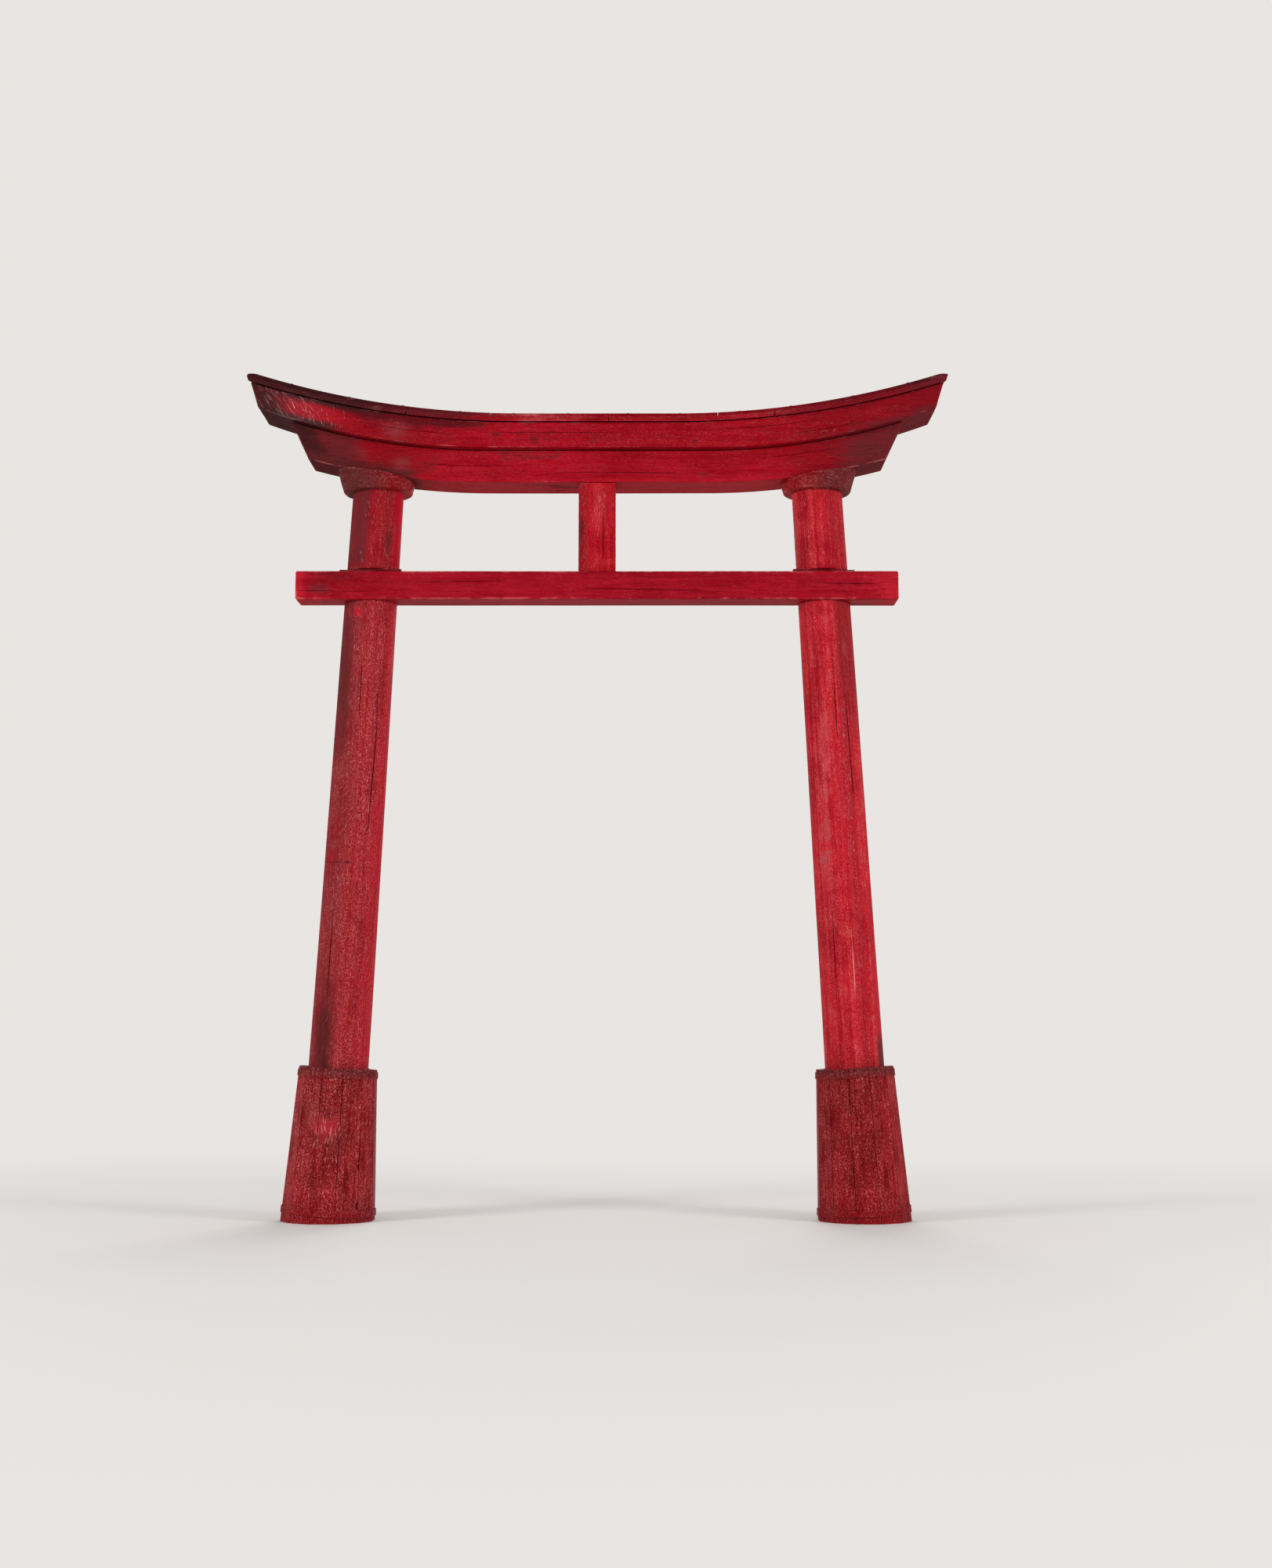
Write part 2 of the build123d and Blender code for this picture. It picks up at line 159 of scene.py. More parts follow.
def lacquer(
    name,
    grain,
    deep,
    bright,
    coats,
    speck_and_glint_strength,
    daubs=None,
    crest_highlight=0.24,
    pith=None,
    turn=(0, 0, 0),
    origin=(0, 0, 0),
):
    """Hand-brushed crimson lacquer on timber.

    Grain gives the brush streaks per metre on each axis. Deep and bright are its two reds. Coats is a
    function that takes the coordinates and gives what lies over the crimson, lowest first: the mask of
    each coat, stain, painted shade and painted light, and its colour. Speck_and_glint_strength is how
    thickly pale specks cover it: a weathered bloom, with painted glints on its glossy flecks. Daubs,
    another function, gives where the lacquer is thick and glossy. Crest_highlight is how strongly a
    painted highlight lies pale along the crests of its runs. Pith is the place round which the growth
    rings show on the cut ends.
    Turn and origin are those of a leaning piece, so that its streaks lean with it.
    """
    made = bpy.data.materials.new(name)
    made.use_nodes = True
    tree = made.node_tree
    shader = tree.nodes["Principled BSDF"]
    here = Tone(tree).node("ShaderNodeTexCoord", output=3)
    settings = {"vector_type": "TEXTURE"}
    here = here.node("ShaderNodeMapping", settings, {"Vector": here, "Location": origin, "Rotation": turn})
    brushed = here.stretch(*grain)
    streaks = brushed.cloud(1.0, 6.0, 0.62, 0.3) - 0.5
    fine = brushed.cloud(3.6, 3.0, 0.65) - 0.5
    hairs = brushed.cloud(1.9, 4.0, 0.62, 0.25).near(0.53, 0.014)
    drift = here.cloud(1.9, 3.0, 0.6, 0.5) - 0.5
    mottle = here.cloud(9.0, 4.0, 0.68, 0.6) - 0.5
    grains = here.cloud(165.0, 2.0, 0.8)
    dashes = here.stretch(*(140.0 if rate == max(grain) else 52.0 for rate in grain)).cloud(1.0, 2.0, 0.6)
    arris, shade, crest = (
        here.node("ShaderNodeAttribute", {"attribute_name": mark}, output=2)
        for mark in ("arris", "shade", "crest")
    )

    tone = streaks * 1.1 + fine * 0.3 + drift * 1.3 + mottle * 0.7 + shade * 0.06
    reds = tone.ramp(-0.32, 0.38).blend(deep, bright)
    reds = (hairs * 0.22).blend(reds, paint(88, 6, 16))
    relief = streaks * 0.8 + fine * 0.4 + grains * 0.25 + dashes * 0.25 - hairs * 0.25
    dulled = drift * 0.1
    for mask, colour in coats(here):
        broken = (mask + streaks * 0.9 + drift * 0.6 + mottle * 0.9 + fine * 0.4).ramp(0.06, 0.94)
        reds = broken.blend(reds, colour)
        dulled = dulled + broken * 0.1
    if pith:
        facing = here.node("ShaderNodeNewGeometry", output=1).part("X")
        end = abs(facing).ramp(0.70, 0.85)
        out = here.node("ShaderNodeVectorMath", {"operation": "SUBTRACT"}, {0: here, 1: (0.0, *pith)})
        out = out.stretch(0.0, 1.0, 1.0)
        wavy = out.length() + here.cloud(11.0, 2.0) * 0.012
        rings = (wavy * growth_ring_rate).math("SINE").ramp(0.1, 1.0) * end
        reds = (rings * 0.4).blend(reds, umber)
        relief = relief - rings * 0.35
    # Pale specks: a worn bloom on the grains, and painted glints on the glossy flecks
    specks_and_glints = grains.ramp(0.47, 0.75) * 0.56 + dashes.ramp(0.54, 0.72) * 0.24
    specks_and_glints = specks_and_glints * (1.0 + mottle * 2.0 + streaks * 4.5) * speck_and_glint_strength * (1.0 - dulled * 5.0).ramp(0.0, 1.0)
    rubbed = (arris - crest).ramp(0.9, 1.0) * (mottle + drift * 0.5 + fine * 0.3).ramp(0.0, 0.2) * 0.26
    gloss = dashes.ramp(0.60, 0.72) * 0.2
    sheen = 0.46 + dulled + fine * 0.3 - streaks * 0.2
    if daubs:
        thick = daubs(here)
        specks_and_glints = specks_and_glints * (1.0 - thick * 0.6)
        gloss = gloss + thick
        sheen = sheen - thick * 0.2
    # Paled last: the specks and glints, the worn arrises, and a painted highlight along the crests of the
    # runs
    reds = (specks_and_glints + rubbed + crest.ramp(0.8, 1.0) * crest_highlight).blend(reds, pale_wear_and_glint)
    tree.links.new(reds.socket, shader.inputs["Base Color"])
    tree.links.new(sheen.socket, shader.inputs["Roughness"])
    tree.links.new((gloss * 0.7).socket, shader.inputs["Coat Weight"])
    shader.inputs["Coat Roughness"].default_value = 0.14
    shader.inputs["Specular IOR Level"].default_value = 0.03
    bump = here.node("ShaderNodeBump", None, {"Strength": 0.8, "Distance": 0.004, "Height": relief})
    tree.links.new(bump.socket, shader.inputs["Normal"])
    return made


def carve(work, cutter):
    """Take the cutter away from the piece. Both are bmeshes, and the cutter is used up."""
    scene = bpy.context.scene.collection
    pair = []
    for solid in (work, cutter):
        mesh = bpy.data.meshes.new("solid")
        solid.to_mesh(mesh)
        pair.append(bpy.data.objects.new("solid", mesh))
        scene.objects.link(pair[-1])
    cut = pair[0].modifiers.new("cut", "BOOLEAN")
    cut.operation = "DIFFERENCE"
    cut.solver = "EXACT"
    cut.object = pair[1]
    done = bpy.data.meshes.new_from_object(pair[0].evaluated_get(bpy.context.evaluated_depsgraph_get()))
    work.clear()
    work.from_mesh(done)
    cutter.free()
    meshes = [done, *(item.data for item in pair)]
    for item in pair:
        bpy.data.objects.remove(item)
    for mesh in meshes:
        bpy.data.meshes.remove(mesh)


def check(work, places):
    """Open drying checks in a straight blank. Each place turns a ball into the check's slim hollow."""
    hollows = bmesh.new()
    for place in places:
        bmesh.ops.create_uvsphere(hollows, u_segments=10, v_segments=22, radius=1.0, matrix=place)
    carve(work, hollows)


def hew(work, grain, depth, seed):
    """Press shallow tool and brush marks into a blank, drawn out along its grain."""
    work.normal_update()
    shift = Vector((seed * 3.7, seed * 1.9, seed * 5.3))
    moves = []
    for vertex in work.verts:
        place = Vector(length * share for length, share in zip(vertex.co, grain)) + shift
        waves = sum(noise.noise(place * pace) * swing for pace, swing in hewn_waves)
        moves.append(vertex.normal * depth * (waves - hewn_crest) / 2)
    for vertex, move in zip(work.verts, moves):
        vertex.co += move


def join(work, *others):
    """Add finished bmeshes to a piece. They are used up."""
    for other in others:
        mesh = bpy.data.meshes.new("part")
        other.to_mesh(mesh)
        other.free()
        work.from_mesh(mesh)
        bpy.data.meshes.remove(mesh)


def lay(runs, skin, place, length, width, bend):
    """Lay a thick run of lacquer on the skin of a piece, near a place whose X stands out from it.

    The run follows the place's Z, tapers upwards and bends towards its Y at both ends.
    """
    out = (place.to_3x3() @ Vector((1, 0, 0))).normalized()
    seat = skin.ray_cast(place @ Vector((run_reach, 0, 0)), -out, 2 * run_reach)[0]
    if not seat:
        return
    run = bmesh.new()
    crest = run.verts.layers.float.new("crest")
    bmesh.ops.create_uvsphere(run, u_segments=12, v_segments=14, radius=1.0)
    for vertex in run.verts:
        proud, across, along = vertex.co
        vertex[crest] = max(proud, 0.0)
        share = width / 2 * (1.0 - run_taper * along)
        spot = place @ Vector((run_reach, across * share + bend * along**2, along * length / 2))
        seat = skin.ray_cast(spot, -out, 2 * run_reach)[0] or seat
        vertex.co = seat + out * proud * share * run_rise
    join(runs, run)


def lay_rows(work, rows, place_at, tilts, bends):
    """Lay rows of runs on a piece. Place_at gives a run's place from a number across and one along.

    A row says how many runs it has, then their ranges across, along and in length, their width and their
    slope. Tilts is the range of degrees added to the slope, bends the range of shares of a run's length.
    """
    skin = BVHTree.FromBMesh(work)
    runs = bmesh.new()
    for count, across, along, lengths, width, slope in rows:
        for _ in range(count):
            place = place_at(random.uniform(*across), random.uniform(*along))
            tilt = Matrix.Rotation(math.radians(slope + random.uniform(*tilts)), 4, "X")
            length = random.uniform(*lengths)
            bend = random.uniform(*bends) * length
            lay(runs, skin, place @ tilt, length, width * random.uniform(*run_widths), bend)
    join(work, runs)


def set_down(name, work, material, *nodes, slot):
    """Finish a piece: mark its worn arrises, sharpen real edges, coat it and stand it for its nodes."""
    # The cuts leave the points in no fixed order. Welded by place, they give the same mesh at each run
    in_order = sorted(work.verts, key=lambda vertex: vertex.co[:])
    bmesh.ops.remove_doubles(work, verts=in_order, dist=weld_distance)
    arris = work.verts.layers.float.new("arris")
    work.normal_update()
    for edge in work.edges:
        angle = edge.calc_face_angle(0.0)
        edge.smooth = angle < rounded_below
        if angle > worn_above:
            for vertex in edge.verts:
                vertex[arris] = 1.0
    for face in work.faces:
        face.smooth = True
    mesh = bpy.data.meshes.new(name)
    work.to_mesh(mesh)
    work.free()
    mesh.materials.append(material)
    piece = bpy.data.objects.new(name, mesh)
    bpy.context.scene.collection.objects.link(piece)
    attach(piece, "root")
    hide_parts(*nodes)


beam_low, beam_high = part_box("tie_beam")
key_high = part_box("right_inner_key")[1]
lap_face = key_high.y + clearance


def straight_log(foot, height):
    """A round log that stands upright and tapers from this radius at its foot."""
    work = bmesh.new()
    bmesh.ops.create_cone(
        work,
        cap_ends=True,
        segments=log_columns,
        radius1=foot,
        radius2=foot - height * log_taper,
        depth=height,
        matrix=Matrix.Translation((0, 0, height / 2)),
    )
    return work


def lean_in(work, side):
    """Set an upright log at its place on the ground and lean it in. Its ends stay level."""
    for vertex in work.verts:
        across = vertex.co.x / math.cos(lean)
        vertex.co.x = side * (foot_middle - vertex.co.z * math.tan(lean)) + across


def edges_along(work, axis, reach):
    """The edges whose ends are further apart than this reach on one axis."""
    return [e for e in work.edges if abs(e.verts[0].co[axis] - e.verts[1].co[axis]) > reach]


def stand(side, turn):
    """The place of a leaning log on the ground, turned about its own axis."""
    foot = Matrix.Translation((side * foot_middle, 0, 0)) @ Matrix.Rotation(-side * lean, 4, "Y")
    return foot @ Matrix.Rotation(turn, 4, "Z")


# Runs of thick lacquer on each log: how many, then ranges of angle, height and length, width and slope
log_runs = {
    "left_pillar": (
        (34, (-150, -45), (1.92, 2.16), (0.05, 0.12), 0.009, -35),
        (34, (-140, -50), (1.25, 1.85), (0.03, 0.08), 0.008, -8),
        (10, (-125, -80), (3.50, 3.66), (0.03, 0.07), 0.009, 12),
        (10, (-120, -40), (0.84, 1.10), (0.03, 0.06), 0.008, -20),
    ),
    "right_pillar": (
        (14, (-160, -110), (2.15, 2.50), (0.02, 0.05), 0.006, 5),
        (8, (-165, -120), (3.55, 3.66), (0.03, 0.06), 0.010, 10),
        (12, (-140, -40), (0.90, 1.60), (0.02, 0.05), 0.005, 0),
    ),
}

# Drying checks of each log: angle, height, length and width
log_checks = (
    (-62, 2.15, 0.62, 0.0030),
    (-128, 1.35, 0.48, 0.0026),
    (-95, 2.72, 0.30, 0.0022),
    (35, 1.90, 0.80, 0.0032),
    (118, 2.40, 0.60, 0.0030),
    (178, 1.50, 0.70, 0.0030),
)

for side, name in ((-1, "left_pillar"), (1, "right_pillar")):
    random.seed(name)
    work = straight_log(foot_radius, shoulder_height + hidden_lap)
    upright = edges_along(work, axis=2, reach=foot_radius)
    bmesh.ops.subdivide_edges(work, edges=upright, cuts=log_rows)
    places = []
    for angle, height, length, width in log_checks:
        height += random.uniform(-0.2, 0.2)
        around = Matrix.Rotation(math.radians(angle + random.uniform(-14, 14)), 4, "Z")
        out = Matrix.Translation((foot_radius - height * log_taper, 0, height))
        tilt = Matrix.Rotation(math.radians(random.uniform(-1.5, 1.5)), 4, "X")
        places.append(around @ out @ tilt @ Matrix.Diagonal((log_check_depth, width, length / 2, 1)))
    hew(work, grain=(9.0, 9.0, 0.9), depth=0.005, seed=side + 2)
    check(work, places)
    lean_in(work, side)
    housing = bmesh.new()
    bmesh.ops.create_cube(housing, size=1.0)
    for vertex in housing.verts:
        vertex.co.x += side * foot_middle
        vertex.co.y = lap_face if vertex.co.y > 0 else 2 * beam_low.y
        vertex.co.z = key_high.z if vertex.co.z > 0 else beam_low.z
    carve(work, housing)

    def place_on_log(angle, height, side=side):
        out = Matrix.Translation((foot_radius - height * log_taper, 0, height))
        return stand(side, math.radians(angle)) @ out

    lay_rows(work, log_runs[name], place_on_log, tilts=(-12, 12), bends=(-0.1, 0.1))

    def log_coats(here, side=side):
        across, along = here.part("X"), here.part("Z")
        if side < 0:
            # Darker on the outer side, partly soot and weather and partly painted shade; painted light on
            # the inner side
            yield across.ramp(0.10, -0.08) * 0.72, paint(124, 33, 37)
            yield across.ramp(-0.02, -0.09) * along.near(2.70, 0.72) * 0.85, paint(96, 35, 37)
            yield along.ramp(1.35, 0.90) * across.near(-0.07, 0.10) * 0.85, umber
            yield along.near(0.80, 0.08) * across.near(-0.07, 0.09) * 0.4, umber
            yield along.ramp(3.22, 3.32) * 0.7, paint(144, 10, 25)
            yield along.ramp(3.24, 3.34) * across.ramp(0.01, -0.05) * 0.8, paint(106, 36, 41)
            yield along.near(3.42, 0.13) * across.near(0.08, 0.028) * 0.85, paint(96, 34, 38)
            yield along.near(3.05, 0.05) * across.near(-0.045, 0.05) * 0.8, paint(186, 22, 38)
            scratch = along.near(1.775, 0.007) * (across + here.part("Y") * 2.0).ramp(-0.24, -0.28)
            yield scratch * 0.8, umber
            yield across.ramp(0.05, 0.13) * 0.6, paint(176, 20, 38)
            yield along.ramp(3.24, 3.34) * across.ramp(0.085, 0.115) * 0.7, paint(184, 14, 40)
        else:
            # Darker towards the outer side, partly soot and weather and partly painted shade
            yield across.near(0.055, 0.05) * 0.5, paint(146, 12, 26)
            below_beam = across.ramp(0.01, 0.07) * along.ramp(2.20, 2.75) * along.ramp(3.30, 3.20)
            yield below_beam * 0.7, paint(134, 26, 32)
            yield across.near(0.012, 0.008) * along.near(2.70, 0.45) * 0.7, paint(124, 10, 22)
            # Painted highlight: a pale smudge of glints on the inner side
            yield across.near(-0.06, 0.05) * along.near(2.30, 0.35) * 0.4, paint(214, 84, 92)
            yield across.ramp(0.09, 0.13) * along.ramp(1.00, 0.84) * 0.8, umber
            yield across.ramp(-0.10, -0.15) * along.ramp(3.15, 3.30) * 0.5, paint(150, 50, 54)
            # Painted highlight: a long, thin pale glint down the log
            yield across.near(0.015, 0.006) * along.near(1.26, 0.26) * 0.9, pale_wear_and_glint

    coat = lacquer(
        f"{name}_lacquer",
        grain=(44.0, 44.0, 1.3),
        deep=paint(136, 12, 24) if side < 0 else paint(154, 6, 24),
        bright=paint(170, 25, 38) if side < 0 else paint(200, 26, 42),
        coats=log_coats,
        speck_and_glint_strength=1.0 if side < 0 else 0.6,
        turn=(0.0, -side * lean, 0.0),
        origin=(side * foot_middle, 0.0, 0.0),
    )
    set_down(f"{name}_log", work, coat, name, slot="pillar_lacquer")

# Root sleeves: twelve flat staves of hard wood round the foot of each log, flared towards the ground
# and set edge to edge with a narrow joint. Their tops are worn and their lacquer has darkened to maroon.
sleeve_height = 0.757
sleeve_foot = foot_radius + 0.073
sleeve_top = 0.1901
stave_count = 12
stave_joint = 0.0006
stave_half_width = 0.062
stave_depth = 0.07
stave_below_ground = 0.03
turned_to_front = Matrix.Rotation(math.radians(-90), 4, "Z")


def plane_off(work, edges, width, segments):
    """Plane the sharpness off some edges."""
    bmesh.ops.bevel(
        work,
        geom=edges,
        offset=width,
        offset_type="OFFSET",
        affect="EDGES",
        segments=segments,
        profile=0.5,
        material=-1,
    )


def timber(low, high, bevel, cell):
    """A squared timber between two corners, its arrises planed off, on a grid fine enough to shape."""
    work = bmesh.new()
    bmesh.ops.create_cube(work, size=1.0)
    for vertex in work.verts:
        vertex.co = [top if share > 0 else base for share, base, top in zip(vertex.co, low, high)]
    plane_off(work, work.edges[:], bevel, segments=2)
    for axis in range(3):
        length = high[axis] - low[axis]
        spans = edges_along(work, axis, length / 2)
        cuts = max(1, round(length / cell))
        bmesh.ops.subdivide_edges(work, edges=spans, cuts=cuts, use_grid_fill=True)
    return work


# Runs of thick lacquer on the sleeves: the left one has all the rows, the right one only the last
sleeve_runs = (
    (18, (-0.07, 0.085), (0.40, 0.52), (0.06, 0.12), 0.011, 0),
    (7, (-0.11, -0.02), (0.37, 0.44), (0.04, 0.07), 0.011, 0),
    (6, (0.00, 0.08), (0.27, 0.36), (0.04, 0.08), 0.010, 0),
    (46, (-0.19, 0.17), (0.04, 0.72), (0.015, 0.035), 0.007, 0),
)


def gather(parts):
    """Put finished parts together in one bmesh, each with a shade of its own."""
    whole = bmesh.new()
    for part in parts:
        shade = part.verts.layers.float.new("shade")
        own = random.random()
        for vertex in part.verts:
            vertex[shade] = own
        join(whole, part)
    return whole


def saw_off(work, place, keep):
    """Saw a piece through at a place, keep the side that the arrow points to and close the cut."""
    everything = [*work.verts, *work.edges, *work.faces]
    bmesh.ops.bisect_plane(work, geom=everything, plane_co=place, plane_no=keep, clear_inner=True)
    bmesh.ops.holes_fill(work, edges=[edge for edge in work.edges if edge.is_boundary])
    bmesh.ops.recalc_face_normals(work, faces=work.faces)


def sleeve_face(height):
    """Distance from the log's axis to the face of a stave, at a height along the log."""
    return sleeve_foot + (sleeve_top - sleeve_foot) * height / sleeve_height


sleeve_lacquers = {}

for side, name in ((-1, "left"), (1, "right")):
    random.seed(f"{name} staves")
    staves = []
    for number in range(stave_count):
        top = sleeve_height - random.uniform(0.0, 0.004)
        stave = timber(
            (-stave_half_width, 0, -stave_below_ground),
            (stave_half_width, stave_depth, top),
            bevel=0.0018,
            cell=0.0125,
        )
        middle = random.uniform(-0.6, 0.6) * stave_half_width
        split = Matrix.Translation((middle, stave_depth, random.choice((0.0, sleeve_height))))
        hew(stave, grain=(16.0, 16.0, 2.2), depth=0.0022, seed=number + side * 20)
        check(stave, [split @ Matrix.Diagonal((random.uniform(0.0008, 0.0018), 0.02, 0.16, 1))])
        proud = random.uniform(-0.0012, 0.0)
        for vertex in stave.verts:
            across, outward, height = vertex.co
            inside = foot_radius - height * log_taper
            reach = inside + (sleeve_face(height) + proud - inside) * outward / stave_depth
            half_width = reach * math.tan(math.pi / stave_count) - stave_joint / 2
            vertex.co = (reach, across / stave_half_width * half_width, height)
        place = stand(side, math.tau * number / stave_count)
        bmesh.ops.transform(stave, matrix=place, verts=stave.verts)
        saw_off(stave, (0, 0, 0), (0, 0, 1))
        staves.append(stave)

    sleeve = gather(staves)

    def place_on_sleeve(across, height, side=side):
        return Matrix.Translation((side * foot_middle + across, -sleeve_foot, height)) @ turned_to_front

    rows = sleeve_runs if side < 0 else sleeve_runs[-1:]
    lay_rows(sleeve, rows, place_on_sleeve, tilts=(-20, 8), bends=(-0.06, 0.22))

    def sleeve_coats(here, side=side):
        across, along = here.part("X"), here.part("Z")
        yield along.ramp(0.680, 0.735) * 0.7, umber
        yield along.ramp(0.16, 0.03) * 0.55, paint(118, 6, 16)
        yield abs(across).ramp(0.12, 0.24) * 0.4, paint(102, 30, 34)
        if side < 0:
            yield along.near(0.53, 0.16) * across.near(-0.10, 0.09) * 0.5, paint(134, 54, 58)
            yield along.near(0.46, 0.12) * across.near(-0.01, 0.12) * 0.8, paint(176, 14, 32)

    def sleeve_daubs(here):
        front = here.part("Y").ramp(-0.1, -0.15)
        return here.part("X").near(-0.01, 0.12) * here.part("Z").near(0.46, 0.15) * front

    coat = sleeve_lacquers[name] = lacquer(
        f"{name}_sleeve_lacquer",
        grain=(60.0, 60.0, 5.0),
        deep=paint(110, 2, 11),
        bright=paint(156, 9, 24),
        coats=sleeve_coats,
        speck_and_glint_strength=0.9 if side < 0 else 0.65,
        daubs=sleeve_daubs if side < 0 else None,
        crest_highlight=0.5,
        turn=(0.0, -side * lean, 0.0),
        origin=(side * foot_middle, 0.0, 0.0),
    )
    set_down(f"{name}_staves", sleeve, coat, f"{name}_root_sleeve", slot="sleeve_lacquer")

# Hoops: flat iron bands, bent hot round the staves and lapped and riveted on the outer side at the back.
# A few nails keep them in place, and the lacquer of the staves covers them.
hoop_width = 0.034
hoop_thickness = 0.004
hoop_levels = {"foot": 0.034, "top": sleeve_height - 0.016 - hoop_width}
hoop_bend = 0.010
hoop_arris = 0.001
rim_above = math.radians(60)
lap_half_width = 0.016
lap_half_length = 0.042
lap_thickness = 0.0035
rivet_radius = 0.007
rivet_reach = 0.022
nail_radius = 0.008
nail_flats = (1, 5, 7, 11)
head_height = 0.003


def dome(work, place, radius, height):
    """Set the domed head of a nail or rivet at a place, standing out along its Z."""
    flat = Matrix.Diagonal((radius, radius, height, 1))
    bmesh.ops.create_uvsphere(work, u_segments=14, v_segments=8, radius=1.0, matrix=place @ flat)


def on_flat(side, flat, height, outward):
    """A place on the face of a flat of the sleeve, its Z pointing out and its Y up the log."""
    out = Matrix.Translation((outward, 0, height)) @ Matrix.Rotation(math.radians(90), 4, "Y")
    return stand(side, math.tau * flat / stave_count) @ out


for side, name in ((-1, "left"), (1, "right")):
    for level, base in hoop_levels.items():
        hoop = bmesh.new()
        corner = 1 / math.cos(math.pi / stave_count)
        bmesh.ops.create_cone(
            hoop,
            cap_ends=False,
            segments=stave_count,
            radius1=(sleeve_face(base) + clearance + hoop_thickness) * corner,
            radius2=(sleeve_face(base + hoop_width) + clearance + hoop_thickness) * corner,
            depth=hoop_width,
            matrix=Matrix.Translation((0, 0, base + hoop_width / 2)),
        )
        plane_off(hoop, edges_along(hoop, 2, hoop_width / 2), hoop_bend, segments=3)
        bmesh.ops.solidify(hoop, geom=hoop.faces[:], thickness=hoop_thickness)
        bmesh.ops.recalc_face_normals(hoop, faces=hoop.faces)
        rims = [e for e in hoop.edges if e.calc_face_angle(0.0) > rim_above]
        plane_off(hoop, rims, hoop_arris, segments=2)
        bmesh.ops.subdivide_edges(hoop, edges=edges_along(hoop, 2, hoop_width / 2), cuts=4)
        bmesh.ops.transform(hoop, matrix=stand(side, math.pi / stave_count), verts=hoop.verts)
        middle = base + hoop_width / 2
        face = sleeve_face(middle) + clearance + hoop_thickness
        lap_flat = 2 if side > 0 else 4
        lap = timber(
            (-lap_half_width, -lap_half_length, -hidden_lap),
            (lap_half_width, lap_half_length, lap_thickness),
            bevel=0.0012,
            cell=0.02,
        )
        bmesh.ops.transform(lap, matrix=on_flat(side, lap_flat, middle, face), verts=lap.verts)
        studs = bmesh.new()
        on_lap = on_flat(side, lap_flat, middle, face + lap_thickness)
        for across in (-rivet_reach, rivet_reach):
            dome(studs, on_lap @ Matrix.Translation((0, across, 0)), rivet_radius, head_height)
        for flat in nail_flats:
            dome(studs, on_flat(side, flat, middle, face), nail_radius, head_height)
        set_down(
            f"{name}_{level}_band",
            gather([hoop, lap, studs]),
            sleeve_lacquers[name],
            f"{name}_{level}_hoop",
            slot="hoop_iron",
        )

# Pillar rings: flared round blocks turned from one piece of wood. They sit on the shoulders of the logs,
# wider at the top than at the foot, and their tops are scribed to the curve of the lower lintel.
ring_middle = foot_middle - shoulder_height * math.tan(lean)
ring_foot_radius = 0.172
ring_flare = math.radians(16.0)
ring_thickness = 0.080
ring_columns = 96
ring_seam = 0.0001
ring_profile = (
    *((0, 0), (0.5, 0), (0.93, 0), (0.965, 0.022), (0.988, 0.06), (1, 0.12)),
    *((1, 0.12 + 0.086 * step) for step in range(1, 10)),
    *((0.998, 0.95), (0.985, 1), (0.5, 1), (0, 1)),
)
lintel_straight = 0.570
lintel_radius = 3.500


def rise(across, straight, radius):
    """How far an upswept edge has risen at a distance from the middle of the gate."""
    beyond = max(abs(across) - straight, 0.0)
    return radius - math.sqrt(radius**2 - beyond**2)


lintel_bed = shoulder_height + ring_thickness - rise(ring_middle, lintel_straight, lintel_radius)

for side, name in ((-1, "left"), (1, "right")):
    work = bmesh.new()
    points = [work.verts.new((share, 0, level)) for share, level in ring_profile]
    for first, second in zip(points, points[1:]):
        work.edges.new((first, second))
    bmesh.ops.spin(
        work,
        geom=[*work.verts, *work.edges],
        cent=(0, 0, 0),
        axis=(0, 0, 1),
        angle=math.tau,
        steps=ring_columns,
        use_merge=True,
    )
    bmesh.ops.remove_doubles(work, verts=work.verts, dist=ring_seam)
    for vertex in work.verts:
        share = math.hypot(vertex.co.x, vertex.co.y)
        facing = math.atan2(vertex.co.y, vertex.co.x)
        level = vertex.co.z
        height = level * ring_thickness
        # The flare sets the place, and the place sets the height: a few rounds bring them together
        for _ in range(5):
            reach = share * (ring_foot_radius + height * math.tan(ring_flare))
            across = ring_middle + reach * math.cos(facing)
            seat = lintel_bed + rise(across, lintel_straight, lintel_radius) + hidden_lap - shoulder_height
            height = level * seat
        vertex.co = (side * across, reach * math.sin(facing), shoulder_height + height)
    bmesh.ops.recalc_face_normals(work, faces=work.faces)
    hew(work, grain=(13.0, 13.0, 13.0), depth=0.003, seed=side + 9)

    def ring_coats(here, side=side):
        outward = here.part("X") * side
        yield outward.ramp(-0.18, 0.10) * (0.9 if side < 0 else 0.75), umber

    coat = lacquer(
        f"{name}_ring_lacquer",
        grain=(9.0, 9.0, 60.0),
        deep=paint(122, 4, 16),
        bright=paint(156, 16, 28),
        coats=ring_coats,
        speck_and_glint_strength=0.6,
        origin=(side * ring_middle, 0.0, 0.0),
    )
    set_down(f"{name}_ring_block", work, coat, f"{name}_pillar_ring", slot="ring_lacquer")

# Tie beam: one squared timber across the fronts of both logs, halved over them and keyed from above.
# Its ends stand out past the logs and show the end grain under the lacquer.
beam_bevel = 0.010
beam_pith = (-0.053, 3.17)
split_count = 6
split_depth = 0.012
split_lengths = (0.012, 0.026)
split_widths = (0.0007, 0.0013)
pith_width = 0.018
face_check_depth = 0.022


